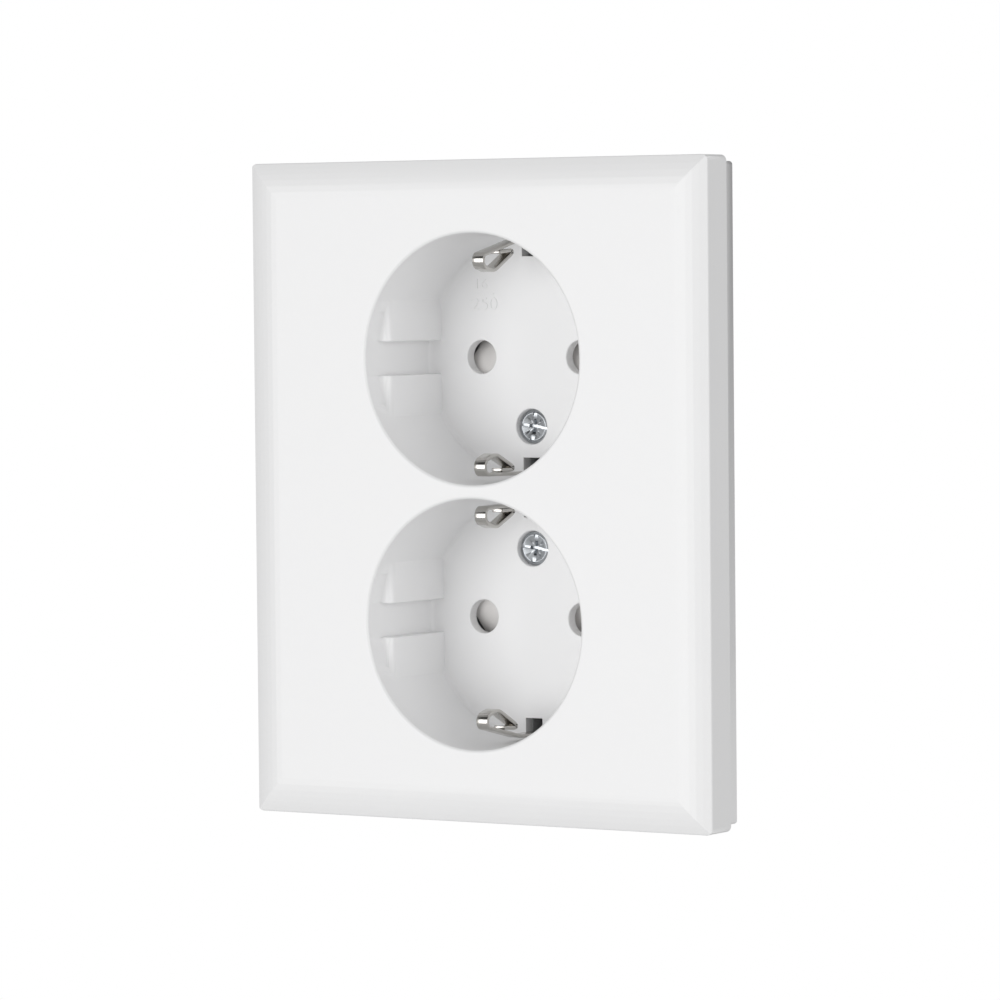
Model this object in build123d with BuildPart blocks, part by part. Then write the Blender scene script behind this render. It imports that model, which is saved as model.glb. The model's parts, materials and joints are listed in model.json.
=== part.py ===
from build123d import *
import math
import os

os.makedirs("parts", exist_ok=True)

# Double wall socket. The front faces -Y, +X is right, +Z is up, and y = 0 is the wall.
# All sizes are in millimetres, and depths are y values, so the front face is at -FACE.

# How far a form runs into the one that it joins
JOIN = 0.5

# Face plate
PLATE_W, PLATE_H = 86.2, 106.5
PLATE_R = 1.0
FACE = 11.0
DOME_W, DOME_RISE = 5.75, 1.55
EDGE_R = 0.5
REAR_STEP = 3.55
RIM_INSET, RIM_R = 0.94, 0.6
CAVITY_W, CAVITY_H, CAVITY_D, CAVITY_R = 80.6, 100.9, 8.4, 1.2
RIB_T, RIB_BACK = 1.4, 4.4

# Wells and what their floors carry
WELL_Z = 21.3
MOUTH_R, FLOOR_R = 20.2, 19.7
LIP_R, FLOOR_FILLET = 0.5, 0.8
WELL_FLOOR, FLOOR_BACK = 7.5, 9.5
TUBE_R = 21.6
PAD_X_FRONT, PAD_X_BACK, PAD_FRONT = 17.75, 17.25, -7.4
PAD_OUT, PAD_H, PAD_EDGE = 22.0, 12.0, 0.5
CHANNEL_W = 5.5
PIN_X, PIN_HOLE_R = 9.5, 2.75
SCREW_Z = 9.95
SCREW_R, SCREW_END = 1.5, 19.0
HEAD_R, HEAD_FRONT, HEAD_EDGE = 2.75, 8.1, 0.65
DRIVE_W, DRIVE_D, CROSS_W, CROSS_D = 0.8, 0.6, 0.7, 1.1
RECESS_R, RECESS_D = 2.9, 8.6
BOSS_R, BOSS_BACK = 2.9, 11.3
SLOT_W, SLOT_IN, SLOT_OUT = 3.2, 16.4, 19.7

# Shutters, pushed aside by the pins and returned by one spring each
SHUTTER_FRONT, SHUTTER_BACK = 9.7, 14.2
SHUTTER_TRAVEL = 5.8
SHUTTER_LOW, SHUTTER_HIGH = -3.5, 10.0
EDGE_SLOPE, EDGE_X, NOTCH_R = 0.484, 13.2, 3.0
RAMP_LOW, RAMP_HIGH, RAMP_SLOPE, RAMP_X = -2.9, 2.95, 18.0, 5.8
POCKET_W, POCKET_H, POCKET_UP = 31.0, 19.9, 0.35
PEG_LOW, PEG_HIGH, PEG_BACK, PEG_W = -2.2, -1.2, 13.2, 2.6
SPRING_SEAT, SPRING_SLOT_W = 7.0, 6.8
SPRING_R, SPRING_WIRE_R, SPRING_Y = 1.3, 0.2, 12.0
SPRING_LOW, SPRING_LENGTH, SPRING_PITCH = -0.9, 7.6, 1.9

# Earth strip
STRIP_W, STRIP_T = 2.4, 0.8
WEB_FRONT, WEB_CHANNEL = 14.4, (3.0, 39.0)
COLLAR_R, COLLAR_BACK = 2.6, 17.0

# Base, in the wall box
TRAY_BACK = 16.5
POCKET_BACK, CHAMBER_FRONT = 14.4, 16.6
BODY_R, BODY_HALF, BODY_BACK = 29.0, 19.5, 29.5
SHOULDER_X, SHOULDER_W, SHOULDER_H = 15.75, 7.5, 21.0
TUBE_GAP, BOSS_GAP, PASSAGE_R = 0.4, 0.2, 3.2
CHAMBER_R, CHAMBER_X, CHAMBER_W = 27.8, 10.4, 9.6
EARTH_CHAMBER_W, EARTH_CHAMBER_H = 8.8, 28.0
SNAP_Z, SNAP_R, SNAP_LENGTH, SNAP_GAP = 20.0, 1.4, 4.5, 0.1
BACK = 31.5
WIRE_X, WIRE_Z, FUNNEL = 9.3, 6.0, 4.6
LEVER_X, LEVER_EARTH_X, LEVER_GAP = 9.8, -0.4, 0.4
LEVER_W, LEVER_H, LEVER_BACK, LEVER_FRONT = 3.0, 4.6, 33.0, 28.0
LEVER_FOOT_H, LEVER_FOOT_BACK, LEVER_FOOT_T = 7.2, 29.3, 1.9

# Brass in the chambers: the contact bars, the jaws on them and the earth bridge
BAR_X, BAR_T, BAR_H, BAR_FRONT, BAR_BACK = 12.5, 0.8, 47.6, 18.0, 27.8
JAW_X, JAW_W, JAW_H, JAW_FRONT = 6.5, 6.8, 5.0, 17.2
BRIDGE_W, BRIDGE_H, BRIDGE_FRONT, BRIDGE_BACK = 7.2, 26.0, 17.0, 18.0
BLADE_X, BLADE_H, BLADE_BACK = 3.2, 18.0, 26.5
LEAF_T, LEAF_H = 0.4, 4.8

# Support frame and claws
FRAME_W, FRAME_H, FRAME_T, FRAME_R = 72.0, 94.0, 1.2, 4.0
BOX_SCREW_X, BOX_SLOT, BOX_SLOT_W = 30.0, 7.0, 4.0
FRAME_TUBE_GAP, FRAME_HOLE_GAP, THREAD_GAP = 0.3, 0.15, 0.05
FRAME_SCREW_X, FRAME_SCREW_Z, FRAME_SCREW_END, FRAME_HOLE_END = 17.5, 4.0, 8.2, 8.6
FRAME_HEAD_R, FRAME_HEAD_H, FRAME_SLOT_W, FRAME_SLOT_D = 2.5, 1.6, 0.7, 0.9
CLAW_TILT, CLAW_X, CLAW_Z = 10.0, 25.4, 5.5
CLAW_SEAT, CLAW_HOLE_X, CLAW_HOLE_R, CLAW_T = -1.75, 25.2, 2.1, 5.0
CLAW_HEAD_R, CLAW_HEAD_H, CLAW_SCREW_L = 2.8, 1.8, 21.5
CLAW_SLOT_W, CLAW_SLOT_D = 0.7, 0.9

WELLS = [(0, WELL_Z), (0, -WELL_Z)]
PINS = [(x, z) for x in (-PIN_X, PIN_X) for z in (WELL_Z, -WELL_Z)]
COVER_SCREWS = [(0, SCREW_Z), (0, -SCREW_Z)]
FRAME_SCREWS = {
    "upper_left": (-FRAME_SCREW_X, FRAME_SCREW_Z),
    "upper_right": (FRAME_SCREW_X, FRAME_SCREW_Z),
    "lower_left": (-FRAME_SCREW_X, -FRAME_SCREW_Z),
    "lower_right": (FRAME_SCREW_X, -FRAME_SCREW_Z),
}


def facing(depth):
    """Sketch plane at a depth, seen from the room: x right, y up, extruding towards the room."""
    return Plane.XZ.offset(-depth)


def turned(shape):
    """The same shape turned half round about the room axis, for the other socket."""
    return shape.rotate(Axis.Y, 180)


def mirrored(shape):
    """The same shape on the other side of the vertical centre plane."""
    return mirror(shape, about=Plane.YZ)


def strip_sides(points, thickness):
    """Points along both sides of a bent strip, from points along its centre line."""
    left, right = [], []
    for i, (a, b) in enumerate(points):
        before = points[max(i - 1, 0)]
        after = points[min(i + 1, len(points) - 1)]
        da = after[0] - before[0]
        db = after[1] - before[1]
        half = thickness / 2 / math.hypot(da, db)
        left.append((a - db * half, b + da * half))
        right.append((a + db * half, b - da * half))
    return left, right


def dome_outline(half, swap):
    """Lines of the domed front across the plate, given half its width."""

    def at(across, depth):
        return (depth, across) if swap else (across, depth)

    radius = (DOME_W**2 + DOME_RISE**2) / (2 * DOME_RISE)
    middle = math.asin(DOME_W / radius) / 2
    inner = half - DOME_W
    bulge = inner + radius * math.sin(middle)
    bulge_depth = -FACE + radius * (1 - math.cos(middle))
    shoulder = -FACE + DOME_RISE
    ThreePointArc(at(half, shoulder), at(bulge, bulge_depth), at(inner, -FACE))
    Line(at(inner, -FACE), at(-inner, -FACE))
    ThreePointArc(at(-inner, -FACE), at(-bulge, bulge_depth), at(-half, shoulder))
    Polyline(at(-half, shoulder), at(-half, 1), at(half, 1), at(half, shoulder))


# The space inside one well, about the origin: a tapered cylinder less its two side keys.
with BuildPart() as well_space:
    with BuildSketch(Plane.XY):
        with BuildLine():
            # Two short cones stand for each rounding, to keep the facets few.
            near = 1 - math.cos(math.radians(45))
            Polyline(
                (0, -FACE - 1),
                (MOUTH_R + LIP_R, -FACE - 1),
                (MOUTH_R + LIP_R, -FACE),
                (MOUTH_R + LIP_R * near, -FACE + LIP_R * near),
                (MOUTH_R, -FACE + LIP_R),
                (FLOOR_R, WELL_FLOOR - FLOOR_FILLET),
                (FLOOR_R - FLOOR_FILLET * near, WELL_FLOOR - FLOOR_FILLET * near),
                (FLOOR_R - FLOOR_FILLET, WELL_FLOOR),
                (0, WELL_FLOOR),
                close=True,
            )
        make_face()
    revolve(axis=Axis.Y)
    for side in (-1, 1):
        for start, amount in ((CHANNEL_W / 2, PAD_H), (-CHANNEL_W / 2, -PAD_H)):
            with BuildSketch(Plane.XY.offset(start)):
                with BuildLine():
                    Polyline(
                        (side * PAD_OUT, PAD_FRONT - PAD_EDGE),
                        (side * (PAD_X_FRONT + PAD_EDGE), PAD_FRONT),
                        (side * PAD_X_FRONT, PAD_FRONT + PAD_EDGE),
                        (side * PAD_X_BACK, WELL_FLOOR + 1),
                        (side * PAD_OUT, WELL_FLOOR + 1),
                        close=True,
                    )
                make_face()
            extrude(amount=amount, mode=Mode.SUBTRACT)

with BuildPart() as cover:
    with BuildSketch(facing(-REAR_STEP)):
        RectangleRounded(PLATE_W, PLATE_H, PLATE_R)
    extrude(amount=FACE - REAR_STEP)
    with BuildSketch(Plane.XY.offset(-PLATE_H)) as dome_x:
        with BuildLine():
            dome_outline(PLATE_W / 2, False)
        make_face()
        fillet([v for v in dome_x.vertices() if abs(v.Y + FACE - DOME_RISE) < 0.01], EDGE_R)
    extrude(amount=2 * PLATE_H, mode=Mode.INTERSECT)
    with BuildSketch(Plane.YZ.offset(-PLATE_W)) as dome_z:
        with BuildLine():
            dome_outline(PLATE_H / 2, True)
        make_face()
        fillet([v for v in dome_z.vertices() if abs(v.Y + FACE - DOME_RISE) < 0.01], EDGE_R)
    extrude(amount=2 * PLATE_W, mode=Mode.INTERSECT)
    with BuildSketch(facing(0)):
        RectangleRounded(PLATE_W - 2 * RIM_INSET, PLATE_H - 2 * RIM_INSET, RIM_R)
    extrude(amount=REAR_STEP)
    with BuildSketch(facing(0)):
        RectangleRounded(CAVITY_W, CAVITY_H, CAVITY_R)
    extrude(amount=CAVITY_D, mode=Mode.SUBTRACT)
    # Stiffening ribs across the hollow back
    with BuildSketch(facing(-RIB_BACK)):
        with Locations(WELLS):
            Rectangle(CAVITY_W + 2 * JOIN, RIB_T)
        Rectangle(RIB_T, CAVITY_H + 2 * JOIN)
    extrude(amount=CAVITY_D - RIB_BACK + JOIN)
    # Well tubes with their floors
    with BuildSketch(facing(FLOOR_BACK)):
        with Locations(WELLS):
            Circle(TUBE_R)
    extrude(amount=FLOOR_BACK + CAVITY_D + JOIN)
    with BuildSketch(facing(BOSS_BACK)):
        with Locations(COVER_SCREWS):
            Circle(BOSS_R)
    extrude(amount=BOSS_BACK - FLOOR_BACK + JOIN)
    # Pegs that the shutter springs push against
    with BuildSketch(facing(PEG_BACK)):
        peg_z = WELL_Z + (PEG_LOW + PEG_HIGH) / 2
        with Locations((0, peg_z), (0, -peg_z)):
            Rectangle(PEG_W, PEG_HIGH - PEG_LOW)
    extrude(amount=PEG_BACK - FLOOR_BACK + JOIN)
    for x, z in WELLS:
        add(well_space.part.moved(Location((x, 0, z))), mode=Mode.SUBTRACT)
    with BuildSketch(facing(FLOOR_BACK)):
        with Locations(PINS):
            Circle(PIN_HOLE_R)
    extrude(amount=FLOOR_BACK - WELL_FLOOR + 0.1, mode=Mode.SUBTRACT)
    with BuildSketch(facing(FLOOR_BACK)):
        for x, z in WELLS:
            for way in (1, -1):
                with Locations((0, z + way * (SLOT_IN + SLOT_OUT) / 2)):
                    Rectangle(SLOT_W, SLOT_OUT - SLOT_IN)
    extrude(amount=FLOOR_BACK - WELL_FLOOR + 1, mode=Mode.SUBTRACT)
    for x, z in COVER_SCREWS:
        with BuildSketch(Plane.XY.offset(z)):
            with BuildLine():
                Polyline(
                    (0, WELL_FLOOR - 0.1),
                    (RECESS_R, WELL_FLOOR - 0.1),
                    (RECESS_R, RECESS_D),
                    (SCREW_R + 0.1, RECESS_D + RECESS_R - SCREW_R - 0.1),
                    (SCREW_R + 0.1, BOSS_BACK + 0.1),
                    (0, BOSS_BACK + 0.1),
                    close=True,
                )
            make_face()
        revolve(axis=Axis((0, 0, z), (0, 1, 0)), mode=Mode.SUBTRACT)

with BuildPart() as support_frame:
    with BuildSketch(facing(0)):
        RectangleRounded(FRAME_W, FRAME_H, FRAME_R)
        with Locations(WELLS):
            Circle(TUBE_R + FRAME_TUBE_GAP, mode=Mode.SUBTRACT)
        with Locations((-BOX_SCREW_X, 0), (BOX_SCREW_X, 0)):
            SlotOverall(BOX_SLOT, BOX_SLOT_W, mode=Mode.SUBTRACT)
        with Locations(list(FRAME_SCREWS.values())):
            Circle(SCREW_R + FRAME_HOLE_GAP, mode=Mode.SUBTRACT)
        with Locations((-CLAW_HOLE_X, CLAW_Z), (CLAW_HOLE_X, -CLAW_Z)):
            Circle(CLAW_HOLE_R, mode=Mode.SUBTRACT)
    extrude(amount=FRAME_T)

with BuildPart() as base_housing:
    with BuildSketch(facing(TRAY_BACK)):
        with Locations(WELLS):
            Circle(TUBE_R)
    extrude(amount=TRAY_BACK - FLOOR_BACK)
    with BuildSketch(facing(BODY_BACK)):
        Circle(BODY_R)
        Rectangle(2 * BODY_HALF, 3 * BODY_R, mode=Mode.INTERSECT)
    extrude(amount=BODY_BACK - FLOOR_BACK)
    # Shoulders that reach the support frame between the wells
    with BuildSketch(facing(FLOOR_BACK + JOIN)):
        with Locations((-SHOULDER_X, 0), (SHOULDER_X, 0)):
            Rectangle(SHOULDER_W, SHOULDER_H)
        with Locations(WELLS):
            Circle(TUBE_R + TUBE_GAP, mode=Mode.SUBTRACT)
    extrude(amount=FLOOR_BACK + JOIN)
    # Shutter pockets, strip channels, collar holes and pin passages
    with BuildSketch(facing(POCKET_BACK)):
        with Locations((0, WELL_Z + POCKET_UP), (0, -WELL_Z - POCKET_UP)):
            Rectangle(POCKET_W, POCKET_H)
    extrude(amount=POCKET_BACK - FLOOR_BACK, mode=Mode.SUBTRACT)
    with BuildSketch(facing(WEB_FRONT + STRIP_T)):
        with Locations(WELLS):
            Rectangle(*WEB_CHANNEL)
    extrude(amount=WEB_FRONT + STRIP_T - FLOOR_BACK, mode=Mode.SUBTRACT)
    with BuildSketch(facing(CHAMBER_FRONT)):
        with Locations(COVER_SCREWS):
            Circle(BOSS_R + BOSS_GAP)
    extrude(amount=CHAMBER_FRONT - FLOOR_BACK, mode=Mode.SUBTRACT)
    with BuildSketch(facing(CHAMBER_FRONT)):
        with Locations(PINS):
            Circle(PASSAGE_R)
    extrude(amount=CHAMBER_FRONT - POCKET_BACK, mode=Mode.SUBTRACT)
    # Contact chambers, open at the back
    with BuildSketch(facing(BODY_BACK)):
        with Locations((-CHAMBER_X, 0), (CHAMBER_X, 0)):
            Rectangle(CHAMBER_W, 3 * BODY_R)
        Rectangle(EARTH_CHAMBER_W, EARTH_CHAMBER_H)
        Circle(CHAMBER_R, mode=Mode.INTERSECT)
    extrude(amount=BODY_BACK - CHAMBER_FRONT, mode=Mode.SUBTRACT)
    with BuildSketch(facing(BODY_BACK)):
        with Locations((0, SNAP_Z), (0, -SNAP_Z)):
            Circle(SNAP_R + SNAP_GAP)
    extrude(amount=SNAP_LENGTH + JOIN, mode=Mode.SUBTRACT)
    with BuildSketch(facing(0)):
        with Locations(list(FRAME_SCREWS.values())):
            Circle(SCREW_R + THREAD_GAP)
    extrude(amount=-FRAME_HOLE_END, mode=Mode.SUBTRACT)

with BuildPart() as rear_cover:
    with BuildSketch(facing(BACK)):
        Circle(BODY_R)
        Rectangle(2 * BODY_HALF, 3 * BODY_R, mode=Mode.INTERSECT)
    extrude(amount=BACK - BODY_BACK)
    with BuildSketch(facing(BODY_BACK)):
        with Locations((0, SNAP_Z), (0, -SNAP_Z)):
            Circle(SNAP_R)
    extrude(amount=SNAP_LENGTH)
    with BuildSketch(facing(BACK)):
        with Locations([(x, z) for x in (-WIRE_X, 0, WIRE_X) for z in (-WIRE_Z, WIRE_Z)]):
            Rectangle(FUNNEL, FUNNEL)
        with Locations((-LEVER_X, 0), (LEVER_EARTH_X, 0), (LEVER_X, 0)):
            Rectangle(LEVER_W + LEVER_GAP, LEVER_H + LEVER_GAP)
    extrude(amount=BACK - BODY_BACK, mode=Mode.SUBTRACT)

with BuildPart() as line_contact_bar:
    with BuildSketch(facing(BAR_BACK)):
        with Locations((-BAR_X, 0)):
            Rectangle(BAR_T, BAR_H)
    extrude(amount=BAR_BACK - BAR_FRONT)
    with BuildSketch(facing(BAR_BACK)):
        with Locations((-PIN_X, WELL_Z), (-PIN_X, -WELL_Z)):
            Rectangle(JAW_W, JAW_H)
    extrude(amount=BAR_T)
    with BuildSketch(facing(BAR_BACK)):
        for x in (-BAR_X, -JAW_X):
            with Locations((x, WELL_Z), (x, -WELL_Z)):
                Rectangle(BAR_T, JAW_H)
    extrude(amount=BAR_BACK - JAW_FRONT)

# One strip lies across the floor of each well and ends in two sprung clips. Its bends are
# (distance out from the well centre, depth, bend radius), from the web to the free end.
OUTER_CLIP = [
    (18.95, 14.8, 1.2),
    (18.9, 6.0, 8.0),
    (17.35, -8.15, 1.35),
    (15.0, -8.15, 1.35),
    (14.05, -5.0, 2.5),
    (17.2, 0.9, 0),
]
INNER_CLIP = [
    (18.95, 14.8, 1.2),
    (18.6, -8.15, 1.2),
    (16.4, -8.15, 1.2),
    (15.4, -5.0, 2.5),
    (17.9, 0.7, 0),
]

with BuildPart() as earth_stirrup_upper:
    for way, bends in ((1, OUTER_CLIP), (-1, INNER_CLIP)):
        path = [(depth, WELL_Z + way * out) for out, depth, bend in bends]
        with BuildSketch(Plane.YZ):
            with BuildLine():
                FilletPolyline(
                    (WEB_FRONT + STRIP_T / 2, WELL_Z),
                    *path,
                    radius=[bend for out, depth, bend in bends[:-1]],
                )
            trace(line_width=STRIP_T)
        extrude(amount=STRIP_W / 2, both=True)
    with BuildSketch(facing(COLLAR_BACK)):
        with Locations((0, SCREW_Z)):
            Circle(COLLAR_R)
    extrude(amount=COLLAR_BACK - WEB_FRONT)
    with BuildSketch(facing(COLLAR_BACK)):
        with Locations((0, SCREW_Z)):
            Circle(SCREW_R + THREAD_GAP)
    extrude(amount=COLLAR_BACK - WEB_FRONT, mode=Mode.SUBTRACT)

with BuildPart() as earth_bridge:
    with BuildSketch(facing(BRIDGE_BACK)):
        Rectangle(BRIDGE_W, BRIDGE_H)
        with Locations(COVER_SCREWS):
            Circle(SCREW_R + 0.2, mode=Mode.SUBTRACT)
    extrude(amount=BRIDGE_BACK - BRIDGE_FRONT)
    with BuildSketch(facing(BLADE_BACK)):
        with Locations((-BLADE_X, 0), (BLADE_X, 0)):
            Rectangle(BAR_T, BLADE_H)
    extrude(amount=BLADE_BACK - BRIDGE_BACK + JOIN)

with BuildPart() as shutter_upper:
    with BuildSketch(facing(SHUTTER_BACK)):
        with BuildLine():
            low = EDGE_X - EDGE_SLOPE * SHUTTER_LOW
            high = EDGE_X - EDGE_SLOPE * SHUTTER_HIGH
            Polyline(
                (-low, WELL_Z + SHUTTER_LOW),
                (-high, WELL_Z + SHUTTER_HIGH),
                (high, WELL_Z + SHUTTER_HIGH),
                (low, WELL_Z + SHUTTER_LOW),
                close=True,
            )
        make_face()
        with Locations((-PIN_X, WELL_Z + SHUTTER_TRAVEL), (PIN_X, WELL_Z + SHUTTER_TRAVEL)):
            Circle(NOTCH_R, mode=Mode.SUBTRACT)
        with Locations((0, WELL_Z + SPRING_SEAT - SHUTTER_HIGH)):
            Rectangle(SPRING_SLOT_W, 2 * SHUTTER_HIGH, mode=Mode.SUBTRACT)
    extrude(amount=SHUTTER_BACK - SHUTTER_FRONT)
    # Ramps that the pins press on
    ramp_back = SHUTTER_FRONT + (RAMP_HIGH - RAMP_LOW) * math.tan(math.radians(RAMP_SLOPE))
    for start, amount in ((RAMP_X, EDGE_X), (-RAMP_X, -EDGE_X)):
        with BuildSketch(Plane.YZ.offset(start)):
            with BuildLine():
                Polyline(
                    (SHUTTER_FRONT, WELL_Z + RAMP_LOW),
                    (ramp_back, WELL_Z + RAMP_HIGH),
                    (ramp_back, WELL_Z + SHUTTER_HIGH + 1),
                    (SHUTTER_FRONT - 1, WELL_Z + SHUTTER_HIGH + 1),
                    (SHUTTER_FRONT - 1, WELL_Z + RAMP_LOW),
                    close=True,
                )
            make_face()
        extrude(amount=amount, mode=Mode.SUBTRACT)

with BuildPart() as shutter_spring_upper:
    with BuildLine():
        coil = Helix(
            pitch=SPRING_PITCH,
            height=SPRING_LENGTH,
            radius=SPRING_R,
            center=(0, SPRING_Y, WELL_Z + SPRING_LOW),
            direction=(0, 0, 1),
        )
    with BuildSketch(Plane(origin=coil @ 0, z_dir=coil % 0)):
        RegularPolygon(SPRING_WIRE_R, 6)
    sweep()

with BuildPart() as cover_screw_upper:
    with BuildSketch(Plane.XY.offset(SCREW_Z)):
        with BuildLine():
            Polyline(
                (0, HEAD_FRONT),
                (HEAD_R, HEAD_FRONT),
                (HEAD_R, HEAD_FRONT + HEAD_EDGE),
                (SCREW_R, HEAD_FRONT + HEAD_EDGE + HEAD_R - SCREW_R),
                (SCREW_R, SCREW_END),
                (0, SCREW_END),
                close=True,
            )
        make_face()
    revolve(axis=Axis((0, 0, SCREW_Z), (0, 1, 0)))
    with BuildSketch(facing(HEAD_FRONT + DRIVE_D)):
        with Locations((0, SCREW_Z)):
            Rectangle(2 * RECESS_R, DRIVE_W)
    extrude(amount=1, mode=Mode.SUBTRACT)
    with BuildSketch(facing(HEAD_FRONT + CROSS_D)):
        with Locations((0, SCREW_Z)):
            Rectangle(2 * SCREW_R, CROSS_W)
            Rectangle(CROSS_W, 2 * SCREW_R)
    extrude(amount=2, mode=Mode.SUBTRACT)

with BuildPart() as frame_screw:
    with BuildSketch(Plane.XY):
        with BuildLine():
            Polyline(
                (0, -FRAME_T - FRAME_HEAD_H),
                (FRAME_HEAD_R - 0.3, -FRAME_T - FRAME_HEAD_H),
                (FRAME_HEAD_R, -FRAME_T - FRAME_HEAD_H + 0.4),
                (FRAME_HEAD_R, -FRAME_T),
                (SCREW_R, -FRAME_T),
                (SCREW_R, FRAME_SCREW_END),
                (0, FRAME_SCREW_END),
                close=True,
            )
        make_face()
    revolve(axis=Axis.Y)
    with BuildSketch(facing(-FRAME_T - FRAME_HEAD_H + FRAME_SLOT_D)):
        Rectangle(3 * FRAME_HEAD_R, FRAME_SLOT_W)
    extrude(amount=2, mode=Mode.SUBTRACT)

# The claw and its screw lean outwards, so tightening the screw spreads the claw.
tilt = math.radians(CLAW_TILT)
claw_plane = Plane(
    origin=(-CLAW_X, CLAW_SEAT, CLAW_Z),
    x_dir=(-math.cos(tilt), math.sin(tilt), 0),
    z_dir=(0, 0, -1),
)
claw_axis = Axis(claw_plane.origin, claw_plane.y_dir)

with BuildPart() as claw_screw_left:
    with BuildSketch(claw_plane):
        with BuildLine():
            Polyline(
                (0, -CLAW_HEAD_H),
                (CLAW_HEAD_R - 0.3, -CLAW_HEAD_H),
                (CLAW_HEAD_R, -CLAW_HEAD_H + 0.4),
                (CLAW_HEAD_R, 0),
                (SCREW_R, 0),
                (SCREW_R, CLAW_SCREW_L),
                (0, CLAW_SCREW_L),
                close=True,
            )
        make_face()
    revolve(axis=claw_axis)
    with BuildSketch(claw_plane):
        with Locations((0, -CLAW_HEAD_H)):
            Rectangle(CLAW_SLOT_W, 2 * CLAW_SLOT_D)
    extrude(amount=2 * CLAW_HEAD_R, both=True, mode=Mode.SUBTRACT)

with BuildPart() as claw_left:
    with BuildSketch(claw_plane):
        with BuildLine():
            Polyline(
                (-2.0, 20.2),
                (-2.0, 19.0),
                (2.9, 19.0),
                (2.9, 10.0),
                (4.4, 9.0),
                (3.9, 10.4),
                (3.9, 12.0),
                (4.4, 11.4),
                (3.9, 12.8),
                (3.9, 20.2),
                close=True,
            )
        make_face()
    extrude(amount=CLAW_T / 2, both=True)
    with BuildSketch(Plane(origin=claw_axis.position, z_dir=claw_axis.direction)):
        Circle(SCREW_R + THREAD_GAP)
    extrude(amount=25, mode=Mode.SUBTRACT)


def clamp_spring(line, z):
    """Bent steel leaf that holds a wire, centred at height z."""
    left, right = strip_sides(line, LEAF_T)
    with BuildPart() as leaf:
        with BuildSketch(Plane.XY.offset(z - LEAF_H / 2)):
            with BuildLine():
                Polyline(*left, *reversed(right), close=True)
            make_face()
        extrude(amount=LEAF_H)
    return leaf.part


LINE_LEAF = [(-6.2, 19.0), (-6.2, 24.6), (-6.5, 25.4), (-7.0, 25.6), (-7.6, 25.2), (-11.7, 20.3)]
EARTH_LEAF = [(2.45, 19.4), (2.45, 24.2), (2.2, 24.8), (1.8, 25.0), (1.3, 24.6), (-2.4, 20.2)]


def release_lever(x):
    """Push button that frees both wires of one pole, with its stem at x."""
    with BuildPart() as lever:
        with BuildSketch(facing(LEVER_BACK)):
            with Locations((x, 0)):
                Rectangle(LEVER_W, LEVER_H)
        extrude(amount=LEVER_BACK - LEVER_FRONT)
        with BuildSketch(facing(LEVER_FOOT_BACK)):
            with Locations((x, 0)):
                Rectangle(LEVER_W, LEVER_FOOT_H)
        extrude(amount=LEVER_FOOT_T)
    return lever.part


pieces = {
    "cover": cover.part,
    "support_frame": support_frame.part,
    "base_housing": base_housing.part,
    "rear_cover": rear_cover.part,
    "line_contact_bar": line_contact_bar.part,
    "neutral_contact_bar": mirrored(line_contact_bar.part),
    "earth_stirrup_upper": earth_stirrup_upper.part,
    "earth_stirrup_lower": turned(earth_stirrup_upper.part),
    "earth_bridge": earth_bridge.part,
    "shutter_upper": shutter_upper.part,
    "shutter_lower": turned(shutter_upper.part),
    "shutter_spring_upper": shutter_spring_upper.part,
    "shutter_spring_lower": turned(shutter_spring_upper.part),
    "cover_screw_upper": cover_screw_upper.part,
    "cover_screw_lower": turned(cover_screw_upper.part),
    "claw_left": claw_left.part,
    "claw_right": turned(claw_left.part),
    "claw_screw_left": claw_screw_left.part,
    "claw_screw_right": turned(claw_screw_left.part),
    "release_lever_line": release_lever(-LEVER_X),
    "release_lever_earth": release_lever(LEVER_EARTH_X),
    "release_lever_neutral": release_lever(LEVER_X),
}
for place, (x, z) in FRAME_SCREWS.items():
    pieces["frame_screw_" + place] = frame_screw.part.moved(Location((x, 0, z)))
for place, z in (("upper", WIRE_Z), ("lower", -WIRE_Z)):
    line_leaf = clamp_spring(LINE_LEAF, z)
    pieces["clamp_spring_line_" + place] = line_leaf
    pieces["clamp_spring_neutral_" + place] = mirrored(line_leaf)
    pieces["clamp_spring_earth_" + place] = clamp_spring(EARTH_LEAF, z)

for name, piece in pieces.items():
    piece.label = name
    export_step(piece, f"parts/{name}.step")
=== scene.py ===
import json
import math

import bmesh
import bpy
from mathutils import Matrix, Vector


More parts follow.
